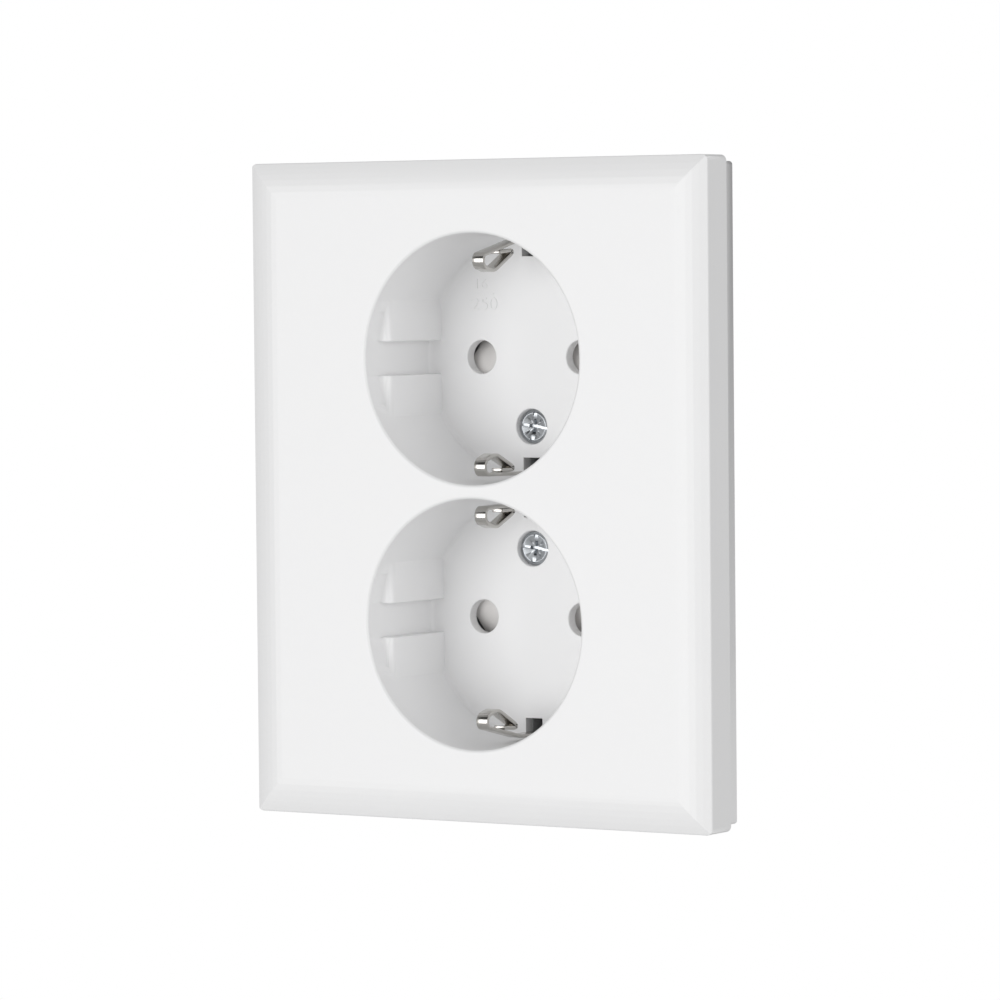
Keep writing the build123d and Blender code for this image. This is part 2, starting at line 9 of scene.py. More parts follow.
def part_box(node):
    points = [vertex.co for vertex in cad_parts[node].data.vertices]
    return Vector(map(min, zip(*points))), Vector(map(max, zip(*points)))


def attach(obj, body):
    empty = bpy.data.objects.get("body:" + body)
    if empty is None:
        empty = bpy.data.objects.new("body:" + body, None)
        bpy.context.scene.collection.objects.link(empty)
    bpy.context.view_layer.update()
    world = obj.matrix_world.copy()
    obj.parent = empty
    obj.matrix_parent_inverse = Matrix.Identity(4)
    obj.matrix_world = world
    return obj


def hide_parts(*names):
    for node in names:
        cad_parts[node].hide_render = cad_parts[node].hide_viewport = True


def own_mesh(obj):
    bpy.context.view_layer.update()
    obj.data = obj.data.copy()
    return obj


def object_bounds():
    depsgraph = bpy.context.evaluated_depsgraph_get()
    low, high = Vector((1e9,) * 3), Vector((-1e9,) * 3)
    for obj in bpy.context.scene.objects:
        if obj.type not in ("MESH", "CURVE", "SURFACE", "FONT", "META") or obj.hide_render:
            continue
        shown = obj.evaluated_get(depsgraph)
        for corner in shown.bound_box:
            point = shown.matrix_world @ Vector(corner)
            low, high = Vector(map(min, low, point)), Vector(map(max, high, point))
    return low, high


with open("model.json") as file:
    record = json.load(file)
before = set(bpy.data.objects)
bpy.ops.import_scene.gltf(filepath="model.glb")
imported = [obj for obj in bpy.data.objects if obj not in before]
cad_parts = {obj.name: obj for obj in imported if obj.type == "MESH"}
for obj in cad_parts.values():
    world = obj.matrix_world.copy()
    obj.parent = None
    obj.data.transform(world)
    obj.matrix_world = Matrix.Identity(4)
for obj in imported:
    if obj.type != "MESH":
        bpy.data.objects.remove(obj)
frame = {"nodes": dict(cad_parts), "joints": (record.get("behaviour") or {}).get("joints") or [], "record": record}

# Looks of a double wall socket: the finishes of its mouldings and metal, and the fine forms of
# its earth clips, screws and springs. The front faces -Y, +X is right and +Z is up, in metres.

bl_info = {
    "name": "Double wall socket looks",
    "version": (1, 0, 0),
    "blender": (4, 5, 0),
    "location": "View3D > Sidebar > Socket",
    "description": "Finishes, earth clips, screws and springs of a double wall socket",
    "category": "Object",
}

MM = 0.001
CAD_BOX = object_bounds()
BODY = "socket"

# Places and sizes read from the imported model
MOUNTS = {mount["name"]: Vector(mount["pos_m"]) for mount in frame["record"]["mounts"]}
SLOT_OF = {part["node"]: part["material_slot"] for part in frame["record"]["subparts"]}
WELL_Z = MOUNTS["upper_line_hole"].z
PIN_X = MOUNTS["upper_neutral_hole"].x
FACE_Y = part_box("cover")[0].y
FLOOR_Y = 7.5 * MM

# Half a turn about the room axis takes the upper socket's pieces to the lower one.
HALF_TURN = Matrix.Rotation(math.pi, 4, "Y")

# A thread's ridge, as shares of its pitch: where it is fully out, falls back and ends
RIDGE_OUT, RIDGE_BACK, RIDGE_END = 0.35, 0.45, 0.8
THREAD_STEPS = 20

# Cuts in a screw's head as shares of its radius: length, width and depth, then the taper
SLOT_CUT = (2.3, 0.18, 0.22, 0.95)
WEDGE_CUT = (1.8, 0.3, 0.1, 0.9)
WING_CUT = (1.2, 0.28, 0.45, 0.6)
SQUARE_CUT = (0.5, 0.5, 0.42, 0.5)
TICK_CUT = (1.5, 0.09, 0.2, 0.6)
HEAD_STEPS, HEAD_LEAN = 48, math.radians(8)


def middle(node):
    """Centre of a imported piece's box."""
    low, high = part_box(node)
    return (low + high) / 2


class SocketDetail(bpy.types.PropertyGroup):
    """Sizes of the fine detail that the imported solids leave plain."""

    moulding_edge: bpy.props.FloatProperty(
        name="Moulding edge",
        description="Width of the rounding along the edges of the plastic pieces",
        default=0.2 * MM,
        min=0.0,
        unit="LENGTH",
    )
    metal_edge: bpy.props.FloatProperty(
        name="Metal edge",
        description="Width of the rounding along the edges of the metal pieces",
        default=0.1 * MM,
        min=0.0,
        unit="LENGTH",
    )
    strip_thickness: bpy.props.FloatProperty(
        name="Earth strip thickness",
        description="Thickness of the sprung strip that ends in the earth clips",
        default=0.6 * MM,
        min=0.1 * MM,
        unit="LENGTH",
    )
    spring_wire: bpy.props.FloatProperty(
        name="Spring wire",
        description="Diameter of the wire of the shutter springs",
        default=0.36 * MM,
        min=0.05 * MM,
        unit="LENGTH",
    )
    thread_pitch: bpy.props.FloatProperty(
        name="Thread pitch",
        description="Distance from one thread to the next on every screw",
        default=0.5 * MM,
        min=0.1 * MM,
        unit="LENGTH",
    )
    number_relief: bpy.props.FloatProperty(
        name="Number relief",
        description="Height of the raised numbers above the floor of the upper well",
        default=0.1 * MM,
        min=0.0,
        unit="LENGTH",
    )


class SocketColours(bpy.types.PropertyGroup):
    """Colours of the plastics, the metals and the backdrop."""

    cover: bpy.props.FloatVectorProperty(
        name="Cover",
        description="White of the face plate and its wells",
        default=(0.92, 0.92, 0.923),
        min=0.0,
        max=1.0,
        subtype="COLOR",
    )
    base: bpy.props.FloatVectorProperty(
        name="Base",
        description="Light grey of the base housing and its rear cover",
        default=(0.6, 0.61, 0.62),
        min=0.0,
        max=1.0,
        subtype="COLOR",
    )
    shutter: bpy.props.FloatVectorProperty(
        name="Shutter",
        description="Warm off-white of the shutters behind the pin holes",
        default=(0.93, 0.91, 0.89),
        min=0.0,
        max=1.0,
        subtype="COLOR",
    )
    lever: bpy.props.FloatVectorProperty(
        name="Lever",
        description="Orange of the release levers at the back",
        default=(0.78, 0.25, 0.04),
        min=0.0,
        max=1.0,
        subtype="COLOR",
    )
    brass: bpy.props.FloatVectorProperty(
        name="Brass",
        description="Bare brass of the contact bars and the earth bridge",
        default=(0.76, 0.56, 0.28),
        min=0.0,
        max=1.0,
        subtype="COLOR",
    )
    nickel: bpy.props.FloatVectorProperty(
        name="Nickel",
        description="Nickel plating of the earth clips",
        default=(0.56, 0.545, 0.52),
        min=0.0,
        max=1.0,
        subtype="COLOR",
    )
    spring: bpy.props.FloatVectorProperty(
        name="Spring steel",
        description="Steel of the shutter springs and the clamp springs",
        default=(0.5, 0.5, 0.51),
        min=0.0,
        max=1.0,
        subtype="COLOR",
    )
    zinc: bpy.props.FloatVectorProperty(
        name="Zinc",
        description="Zinc plating of the screws, the claws and the support frame",
        default=(0.46, 0.48, 0.5),
        min=0.0,
        max=1.0,
        subtype="COLOR",
    )
    floor: bpy.props.FloatVectorProperty(
        name="Floor",
        description="Pale colour of the floor",
        default=(0.9, 0.9, 0.9),
        min=0.0,
        max=1.0,
        subtype="COLOR",
    )


class Wire:
    """A value in a node tree, with the arithmetic that the finishes use."""

    def __init__(self, graph, socket):
        self.graph = graph
        self.socket = socket

    def maths(self, operation, first, second):
        """Joins two values, of which at least one is a wire."""
        return self.graph.node("ShaderNodeMath", {"operation": operation}, {0: first, 1: second})

    def __add__(self, other):
        return self.maths("ADD", self, other)

    def __radd__(self, other):
        return self.maths("ADD", other, self)

    def __sub__(self, other):
        return self.maths("SUBTRACT", self, other)

    def __rsub__(self, other):
        return self.maths("SUBTRACT", other, self)

    def __mul__(self, other):
        return self.maths("MULTIPLY", self, other)

    def __rmul__(self, other):
        return self.maths("MULTIPLY", other, self)


class Graph:
    """The node tree of a material or of the world."""

    def __init__(self, owner):
        owner.use_nodes = True
        self.tree = owner.node_tree
        self.tree.nodes.clear()

    def node(self, kind, settings, inputs, output=0):
        """Adds a node: first its settings, then the values or links of its sockets."""
        made = self.tree.nodes.new(kind)
        for name, value in settings.items():
            setattr(made, name, value)
        for name, value in inputs.items():
            if isinstance(value, Wire):
                self.tree.links.new(value.socket, made.inputs[name])
            else:
                made.inputs[name].default_value = value
        return Wire(self, made.outputs[output]) if made.outputs else None

    def place(self, stretch=(1.0, 1.0, 1.0)):
        """Position on the piece in metres, stretched along its axes."""
        position = self.node("ShaderNodeTexCoord", {}, {}, "Object")
        return self.node("ShaderNodeMapping", {}, {"Vector": position, "Scale": stretch})

    def noise(self, place, size, detail=2.0):
        """Smooth noise around 0.5, with features of a size in metres."""
        return self.node(
            "ShaderNodeTexNoise", {}, {"Vector": place, "Scale": 1 / size, "Detail": detail}
        )

    def mix(self, share, first, second):
        """A colour between two colours."""
        return self.node(
            "ShaderNodeMix", {"data_type": "RGBA"}, {0: share, 6: first, 7: second}, 2
        )

    def bump(self, height, depth):
        """Surface normal over a height map of a given depth in metres."""
        return self.node("ShaderNodeBump", {}, {"Height": height, "Distance": depth, "Strength": 1.0})


def shaded(colour, share):
    """A colour made lighter or darker by a share, with full alpha."""
    return (*(min(1.0, channel * share) for channel in colour), 1.0)


def plastic(name, colour, rough, grain, depth, cloud=0.012):
    """Moulded plastic: a fine grain, and faint clouding of its colour and gloss."""
    material = bpy.data.materials.new(name)
    graph = Graph(material)
    place = graph.place()
    drift = graph.noise(place, 14 * MM)
    texture = graph.noise(place, grain, 3.0)
    base = graph.mix(drift, shaded(colour, 1 - cloud), shaded(colour, 1 + cloud))
    shader = graph.node(
        "ShaderNodeBsdfPrincipled",
        {},
        {
            "Base Color": base,
            "Roughness": rough + (drift - 0.5) * 0.08 + (texture - 0.5) * 0.06,
            "IOR": 1.5,
            "Normal": graph.bump(texture, depth),
        },
    )
    graph.node("ShaderNodeOutputMaterial", {}, {"Surface": shader})
    return material


def metal(name, colour, rough, stretch, depth, cloud=0.1):
    """Plated or rolled metal: fine lines along the piece, and faint cloudy tarnish."""
    material = bpy.data.materials.new(name)
    graph = Graph(material)
    drift = graph.noise(graph.place(), 1.6 * MM, 4.0)
    lines = graph.noise(graph.place(stretch), 0.11 * MM, 2.0)
    base = graph.mix(drift, shaded(colour, 1 - cloud), shaded(colour, 1 + cloud))
    shader = graph.node(
        "ShaderNodeBsdfPrincipled",
        {},
        {
            "Base Color": base,
            "Metallic": 1.0,
            "Roughness": rough + (drift - 0.5) * 0.12 + (lines - 0.5) * 0.1,
            "Normal": graph.bump(lines, depth),
        },
    )
    graph.node("ShaderNodeOutputMaterial", {}, {"Surface": shader})
    return material


def finish(slot):
    """The material of one of the record's slots, made when it is first asked for."""
    known = bpy.data.materials.get("finish_" + slot)
    if known:
        return known
    colours = bpy.context.scene.socket_colours
    along_strip = (1.0, 0.04, 0.04)
    along_thread = (1.0, 0.3, 1.0)
    makers = {
        "cover_plastic": lambda name: plastic(name, colours.cover, 0.33, 0.9 * MM, 0.002 * MM),
        "base_plastic": lambda name: plastic(name, colours.base, 0.52, 0.25 * MM, 0.012 * MM, 0.03),
        "shutter_plastic": lambda name: plastic(name, colours.shutter, 0.42, 0.5 * MM, 0.004 * MM),
        "lever_plastic": lambda name: plastic(name, colours.lever, 0.4, 0.4 * MM, 0.006 * MM, 0.05),
        "contact_brass": lambda name: metal(name, colours.brass, 0.3, (0.04, 1.0, 0.04), 0.002 * MM),
        "clip_nickel": lambda name: metal(name, colours.nickel, 0.2, along_strip, 0.001 * MM, 0.05),
        "spring_steel": lambda name: metal(name, colours.spring, 0.3, along_thread, 0.001 * MM),
        "zinc_steel": lambda name: metal(name, colours.zinc, 0.3, along_thread, 0.0015 * MM, 0.12),
    }
    return makers[slot]("finish_" + slot)


def dress(node):
    """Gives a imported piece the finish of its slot."""
    for slot in frame["nodes"][node].material_slots:
        slot.material = finish(SLOT_OF[node])


def soften(piece, width):
    """Joins a piece's loose triangles, rounds its sharp edges and evens its shading."""
    weld = piece.modifiers.new("weld", "WELD")
    weld.merge_threshold = 0.001 * MM
    flat = piece.modifiers.new("flat", "DECIMATE")
    flat.decimate_type = "DISSOLVE"
    flat.angle_limit = math.radians(0.5)
    edge = piece.modifiers.new("edge", "BEVEL")
    edge.width = width
    edge.segments = 2
    edge.limit_method = "ANGLE"
    edge.angle_limit = math.radians(35)
    edge.use_clamp_overlap = False
    edge.miter_outer = "MITER_ARC"
    piece.modifiers.new("even", "WEIGHTED_NORMAL").weight = 80


def smooth(mesh, angle=40.0):
    """Shades a mesh smooth apart from edges sharper than an angle."""
    mesh.shade_smooth()
    mesh.set_sharp_from_angle(angle=math.radians(angle))


def add_piece(name, mesh, slot, nodes, body=BODY):
    """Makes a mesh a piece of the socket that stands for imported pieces, if it names any."""
    mesh.name = name
    piece = bpy.data.objects.new(name, mesh)
    bpy.context.scene.collection.objects.link(piece)
    mesh.materials.append(finish(slot))
    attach(piece, body)
    if nodes:
        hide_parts(*nodes)
    return piece


def to_mesh(bm, name):
    """Ends a bmesh as a new mesh, with doubles merged and faces pointing outwards."""
    bmesh.ops.remove_doubles(bm, verts=bm.verts, dist=0.0005 * MM)
    bmesh.ops.recalc_face_normals(bm, faces=bm.faces)
    mesh = bpy.data.meshes.new(name)
    bm.to_mesh(mesh)
    bm.free()
    return mesh


def with_modifiers(mesh, add):
    """A copy of a mesh with modifiers applied, which add() puts on its object."""
    holder = bpy.data.objects.new("holder", mesh)
    bpy.context.scene.collection.objects.link(holder)
    add(holder)
    bpy.context.view_layer.update()
    shaped = holder.evaluated_get(bpy.context.evaluated_depsgraph_get())
    result = bpy.data.meshes.new_from_object(shaped)
    bpy.data.objects.remove(holder)
    return result


def bent(bm, corners, segments):
    """Draws a line through corners, each a point with its bend radius. Gives its vertices and edges."""
    points = [Vector(point) for point, radius in corners]
    verts = [bm.verts.new(point) for point in points]
    others = set(bm.verts) - set(verts)
    for pair in zip(verts, verts[1:]):
        bm.edges.new(pair)
    for i in range(1, len(corners) - 1):
        radius = corners[i][1]
        if radius:
            turn = (points[i] - points[i - 1]).angle(points[i + 1] - points[i])
            bmesh.ops.bevel(
                bm,
                geom=[verts[i]],
                offset=radius * math.tan(turn / 2),
                offset_type="OFFSET",
                segments=segments,
                profile=0.5,
                affect="VERTICES",
                material=-1,
                clamp_overlap=False,
            )
    line = [vert for vert in bm.verts if vert not in others]
    return line + list(dict.fromkeys(edge for vert in line for edge in vert.link_edges))


def spun(bm, outline, steps, segments=5):
    """Turns an outline about Z into a closed form. Its points are (radius, distance, bend radius)."""
    corners = [((radius, 0, along), bend) for radius, along, bend in outline]
    bmesh.ops.spin(
        bm,
        geom=bent(bm, corners, segments),
        cent=(0, 0, 0),
        axis=(0, 0, 1),
        dvec=(0, 0, 0),
        angle=math.tau,
        steps=steps,
        use_merge=True,
        use_duplicate=False,
    )


def wound(bm, ring, turns, rise, steps_a_turn):
    """Winds a closed ring of vertices about Z, rising by a distance each turn. Gives the last ring."""
    steps = max(2, round(turns * steps_a_turn))
    made = bmesh.ops.spin(
        bm,
        geom=ring,
        cent=(0, 0, 0),
        axis=(0, 0, 1),
        dvec=(0, 0, rise * turns / steps),
        angle=math.tau * turns,
        steps=steps,
        use_merge=False,
        use_duplicate=False,
    )
    return made["geom_last"]


def closed_ring(bm, points):
    """Vertices and edges of a closed loop through some points."""
    verts = [bm.verts.new(point) for point in points]
    edges = [bm.edges.new(pair) for pair in zip(verts, verts[1:] + verts[:1])]
    return verts + edges


def thread(bm, root, crest, start, end, pitch):
    """A helical ridge along Z, between two distances."""
    points = (
        (root, 0, start),
        (crest, 0, start + pitch * RIDGE_OUT),
        (crest, 0, start + pitch * RIDGE_BACK),
        (root, 0, start + pitch * RIDGE_END),
    )
    turns = (end - start) / pitch - RIDGE_END
    wound(bm, closed_ring(bm, points), turns, pitch, THREAD_STEPS)


def towards(origin, direction):
    """Matrix that stands a form along Z on an origin, pointing in a direction, its X level."""
    along = Vector(direction).normalized()
    level = Vector((0, 0, 1)).cross(along).normalized()
    matrix = Matrix((level, along.cross(level), along)).transposed().to_4x4()
    matrix.translation = origin
    return matrix


def aimed(place):
    """Matrix that stands a lamp or a card on a place, facing the origin."""
    return Matrix.Translation(place) @ place.to_track_quat("Z", "Y").to_matrix().to_4x4()


def half_turned(mesh):
    """A copy of one of the upper socket's meshes for the lower socket."""
    copy = mesh.copy()
    copy.transform(HALF_TURN)
    return copy


def bar_cut(shape, wide, turn):
    """A bar across a screw's head, narrower with depth, that cuts a slot turned about Z."""
    length, width, depth, taper = shape
    bm = bmesh.new()
    made = bmesh.ops.create_cube(bm, size=1.0)["verts"]
    bmesh.ops.scale(bm, verts=made, vec=(length * wide, width * wide, 2 * depth * wide))
    deep = [vert for vert in made if vert.co.z > 0]
    bmesh.ops.scale(bm, verts=deep, vec=(taper, taper, 1))
    bmesh.ops.rotate(bm, verts=made, matrix=Matrix.Rotation(turn, 3, "Z"))
    return to_mesh(bm, "bar_cut")


def screw_mesh(outline, root, crest, threaded, pitch, cross):
    """A screw along Z with its head's face at 0, a driven head and a thread.

    outline is its (radius, distance, bend) points, threaded the distances between which the
    thread runs, and cross says whether the slot is crossed by a second pair of wings.
    """
    bm = bmesh.new()
    spun(bm, outline, HEAD_STEPS)
    head = to_mesh(bm, "screw_body")
    wide = max(radius for radius, along, bend in outline)
    crossed, eighth = HEAD_LEAN + math.pi / 2, math.pi / 4
    cuts = [bar_cut(SLOT_CUT, wide, HEAD_LEAN)]
    if cross:
        cuts.append(bar_cut(WEDGE_CUT, wide, crossed))
        cuts += [bar_cut(WING_CUT, wide, turn) for turn in (HEAD_LEAN, crossed)]
        cuts.append(bar_cut(SQUARE_CUT, wide, HEAD_LEAN + eighth))
        cuts += [bar_cut(TICK_CUT, wide, HEAD_LEAN + way * eighth) for way in (1, -1)]
    for mesh in cuts:
        head = combined(head, mesh, "DIFFERENCE")
    bm = bmesh.new()
    bm.from_mesh(head)
    thread(bm, root, crest, *threaded, pitch)
    open_edges = [edge for edge in bm.edges if edge.is_boundary]
    bmesh.ops.holes_fill(bm, edges=open_edges, sides=4)
    mesh = to_mesh(bm, "screw")
    smooth(mesh)
    return mesh


def combined(mesh, tool, operation):
    """Two meshes joined into one, or the first less the second."""
    knife = bpy.data.objects.new("knife", tool)
    bpy.context.scene.collection.objects.link(knife)

    def add(holder):
        cut = holder.modifiers.new("cut", "BOOLEAN")
        cut.operation = operation
        cut.solver = "EXACT"
        cut.object = knife

    result = with_modifiers(mesh, add)
    bpy.data.objects.remove(knife)
    return result


class SOCKET_OT_stage(bpy.types.Operator):
    """Sets up the camera, the lamps, the floor and the white surroundings"""

    bl_idname = "socket.stage"
    bl_label = "Stage"

    # Camera of the photograph, as angles about the object, with its distance and focal length
    turn = math.radians(32.064)
    tilt = math.radians(2.501)
    roll = math.radians(-0.525)
    distance = 838.22 * MM
    aim = Vector((5.392, -11.0, -1.166)) * MM
    lens = 189.09
    sensor = 36.0

    # Lamps: place and size in metres, and power in watts
    lamps = {
        "left_softbox": ((-0.52, -1.49, 0.0), (1.3, 0.9), 10.9),
        "right_softbox": ((1.28, -0.57, 0.1), (0.9, 0.9), 6.0),
    }
    ambient = 0.38
    floor_size, floor_drop, floor_cloud = 0.6, 0.26, 0.05
    card_grey = (0.02, 0.02, 0.02, 1)
    nearest = 0.01

    # Dark cards that only reflections see: centre and size, in metres
    cards = {
        "upper_card": ((0.0, -0.5, 0.42), (1.2, 0.32)),
        "lower_card": ((0.0, -0.5, -0.42), (1.2, 0.32)),
    }

    def execute(self, context):
        self.camera(context)
        for name, (place, size, power) in self.lamps.items():
            self.lamp(context, name, Vector(place), size, power)
        self.world(context)
        self.floor(context)
        for name, (place, size) in self.cards.items():
            self.card(context, name, Vector(place), size)
        context.scene.view_settings.view_transform = "Standard"
        return {"FINISHED"}

    def camera(self, context):
        back = Vector(
            (
                math.sin(self.turn) * math.cos(self.tilt),
                -math.cos(self.turn) * math.cos(self.tilt),
                math.sin(self.tilt),
            )
        )
        level = (-back).cross(Vector((0, 0, 1))).normalized()
        upright = level.cross(-back)
        right = level * math.cos(self.roll) + upright * math.sin(self.roll)
        up = upright * math.cos(self.roll) - level * math.sin(self.roll)
        matrix = Matrix((right, up, back)).transposed().to_4x4()
        matrix.translation = self.aim + back * self.distance
        data = bpy.data.cameras.new("camera")
        data.sensor_width = self.sensor
        data.lens = self.lens
        data.clip_start = self.nearest
        camera = bpy.data.objects.new("camera", data)
        camera.matrix_world = matrix
        context.scene.collection.objects.link(camera)
        context.scene.camera = camera

    def lamp(self, context, name, place, size, power):
        data = bpy.data.lights.new(name, "AREA")
        data.shape = "RECTANGLE"
        data.size, data.size_y = size
        data.energy = power
        lamp = bpy.data.objects.new(name, data)
        lamp.matrix_world = aimed(place)
        context.scene.collection.objects.link(lamp)

    def world(self, context):
        world = bpy.data.worlds.new("surroundings")
        context.scene.world = world
        graph = Graph(world)
        seen = graph.node("ShaderNodeLightPath", {}, {}, "Is Camera Ray")
        white = graph.node("ShaderNodeBackground", {}, {"Color": (1, 1, 1, 1), "Strength": 1.0})
        dim = graph.node("ShaderNodeBackground", {}, {"Color": (1, 1, 1, 1), "Strength": self.ambient})
        shown = graph.node("ShaderNodeMixShader", {}, {0: seen, 1: dim, 2: white})
        graph.node("ShaderNodeOutputWorld", {}, {"Surface": shown})

    def floor(self, context):
        low, high = CAD_BOX
        height = low[2] - self.floor_drop
        colour = context.scene.socket_colours.floor
        bm = bmesh.new()
        bmesh.ops.create_grid(bm, x_segments=1, y_segments=1, size=self.floor_size)
        bmesh.ops.translate(bm, verts=bm.verts, vec=(0, 0, height))
        mesh = to_mesh(bm, "floor")
        material = bpy.data.materials.new("floor")
        graph = Graph(material)
        drift = graph.noise(graph.place(), self.floor_cloud)
        shader = graph.node(
            "ShaderNodeBsdfPrincipled",
            {},
            {
                "Base Color": graph.mix(drift, shaded(colour, 0.99), shaded(colour, 1.01)),
                "Roughness": 0.8,
            },
        )
        graph.node("ShaderNodeOutputMaterial", {}, {"Surface": shader})
        mesh.materials.append(material)
        floor = bpy.data.objects.new("floor", mesh)
        context.scene.collection.objects.link(floor)

    def card(self, context, name, place, size):
        bm = bmesh.new()
        bmesh.ops.create_grid(bm, x_segments=1, y_segments=1, size=0.5)
        bmesh.ops.scale(bm, verts=bm.verts, vec=(*size, 1))
        bmesh.ops.transform(bm, verts=bm.verts, matrix=aimed(place))
        mesh = to_mesh(bm, name)
        material = bpy.data.materials.get("card") or bpy.data.materials.new("card")
        graph = Graph(material)
        shader = graph.node(
            "ShaderNodeBsdfPrincipled", {}, {"Base Color": self.card_grey, "Roughness": 1.0}
        )
        graph.node("ShaderNodeOutputMaterial", {}, {"Surface": shader})
        mesh.materials.append(material)
        card = bpy.data.objects.new(name, mesh)
        card.visible_camera = False
        card.visible_diffuse = False
        card.visible_shadow = False
        card.visible_transmission = False
        context.scene.collection.objects.link(card)


class SOCKET_OT_cover(bpy.types.Operator):
    """Recasts the face plate with smooth keyed wells and pin holes, and adds the raised numbers"""

    bl_idname = "socket.cover"
    bl_label = "Cover"

    # The wells: a tapered tube with a rounded lip and floor, less two keys on each side
    plug_radius, plug_back = 20.9 * MM, 9.5 * MM
    mouth, lip = 20.2 * MM, 0.5 * MM
    floor_radius, floor_round = 19.7 * MM, 0.8 * MM
    key_front, key_fall = -7.4 * MM, 0.5 * MM
    key_near, key_far, key_out = 17.75 * MM, 17.25 * MM, 22.5 * MM
    key_low, key_high = 2.75 * MM, 15.0 * MM
    key_round, key_edge = 0.9 * MM, 0.22 * MM
    around, plug_around, opening_around = 144, 72, 56

    # A step of the cutting is made again if its volume, as a share of the one before, is past
    # these two, or if its sides move by more than a hair
    attempts, least_volume, most_volume, hair = 6, 0.1, 10.0, 0.01 * MM

    # Faces of an area between these two, such as those of the keys, are shaded flat
    least_flat, most_flat = 20.0 * MM * MM, 250.0 * MM * MM
    smooth_angle, sharp_angle = 35.0, math.radians(40)

    # Openings in the well floors
    above_floor, behind_floor = 1.0 * MM, 10.6 * MM
    pin_radius, pin_round = 2.75 * MM, 0.2 * MM
    slot_width, slot_near, slot_far = 3.2 * MM, 16.4 * MM, 19.7 * MM
    recess_radius, recess_depth = 2.9 * MM, 8.6 * MM
    screw_way, screw_back = 1.7 * MM, 11.4 * MM

    # Raised marks on the floor of the upper well: text, centre across and up, width and height
    marks = {
        "rating_16": ("16", (-9.35, 33.3), (2.1, 1.6)),
        "rating_bar": ("", (-9.2, 31.65), (4.4, 0.22)),
        "rating_250": ("250", (-8.9, 30.0), (5.0, 2.1)),
    }

    def execute(self, context):
        heights = (WELL_Z, -WELL_Z)
        openings = [opening for z in heights for opening in self.floor_openings(z)]
        plate = self.joined([frame["nodes"]["cover"].data])
        for operation, tools in (
            ("UNION", [self.plug(z) for z in heights]),
            ("DIFFERENCE", [self.well(z) for z in heights]),
            ("DIFFERENCE", openings),
        ):
            plate = self.worked(plate, self.joined(tools), operation)
        smooth(plate, self.smooth_angle)
        self.keep_flats(plate)
        piece = add_piece("face_plate", plate, "cover_plastic", ("cover",))
        even = piece.modifiers.new("even", "WEIGHTED_NORMAL")
        even.keep_sharp = True
        even.weight = 90
        for name, (text, place, size) in self.marks.items():
            mesh = self.mark(context, text)
            self.fit(mesh, place, size)
            add_piece(name, mesh, "cover_plastic", ())
        return {"FINISHED"}

    def keep_flats(self, plate):
        """Marks the borders of middling faces as sharp, so that these are shaded flat."""
        flats = [face for face in plate.polygons if self.least_flat < face.area < self.most_flat]
        borders = {key for face in flats for key in face.edge_keys}
        for edge in plate.edges:
            if edge.key in borders:
                edge.use_edge_sharp = True

    def worked(self, plate, tool, operation):
        """The plate after one step. The solver's result varies, so a bad one is made again."""
        for attempt in range(self.attempts):
            result = self.joined([combined(plate, tool, operation)])
            if self.sound(result, plate):
                return result
        raise RuntimeError("the face plate didn't come out whole")

    def sound(self, result, plate):
        """Whether a step left a whole plate: as wide and high as before, of a likely volume."""
        if not result.polygons:
            return False
        measures = []
        for mesh in (result, plate):
            bm = bmesh.new()
            bm.from_mesh(mesh)
            spread = [[vert.co[axis] for vert in bm.verts] for axis in (0, 2)]
            measures.append((bm.calc_volume(), *(max(side) - min(side) for side in spread)))
            bm.free()
        (volume, *sides), (volume_before, *sides_before) = measures
        steady = all(abs(new - old) < self.hair for new, old in zip(sides, sides_before))
        return steady and self.least_volume < volume / volume_before < self.most_volume

    def joined(self, meshes):
        """A copy of some meshes as one, without the edges inside its flats."""
        bm = bmesh.new()
        for mesh in meshes:
            bm.from_mesh(mesh)
        bmesh.ops.remove_doubles(bm, verts=bm.verts, dist=0.001 * MM)
        bmesh.ops.dissolve_limit(
            bm, angle_limit=math.radians(0.2), verts=bm.verts, edges=bm.edges
        )
        plain = bpy.data.meshes.new("plate")
        bm.to_mesh(plain)
        bm.free()
        return plain

    def turned(self, outline, x, z, steps):
        """A form turned about the room axis through x, z. Its distances are depths."""
        bm = bmesh.new()
        spun(bm, outline, steps)
        mesh = to_mesh(bm, "turned")
        mesh.transform(towards(Vector((x, 0, z)), (0, 1, 0)))
        return mesh

    def plug(self, z):
        """Fills a packed well, whose facets are coarse."""
        outline = (
            (0, FACE_Y, 0),
            (self.plug_radius, FACE_Y, 0),
            (self.plug_radius, self.plug_back, 0),
            (0, self.plug_back, 0),
        )
        return self.turned(outline, 0, z, self.plug_around)

    def well(self, z):
        """The space inside a well, with its keys taken out."""
        outline = (
            (0, FACE_Y - self.above_floor, 0),
            (self.mouth + self.lip, FACE_Y - self.above_floor, 0),
            (self.mouth + self.lip, FACE_Y, 0),
            (self.mouth, FACE_Y, self.lip),
            (self.floor_radius, FLOOR_Y, self.floor_round),
            (0, FLOOR_Y, 0),
        )
        space = self.turned(outline, 0, z, self.around)
        for side in (-1, 1):
            for way in (-1, 1):
                space = combined(space, self.key(side, way, z), "DIFFERENCE")
        return space

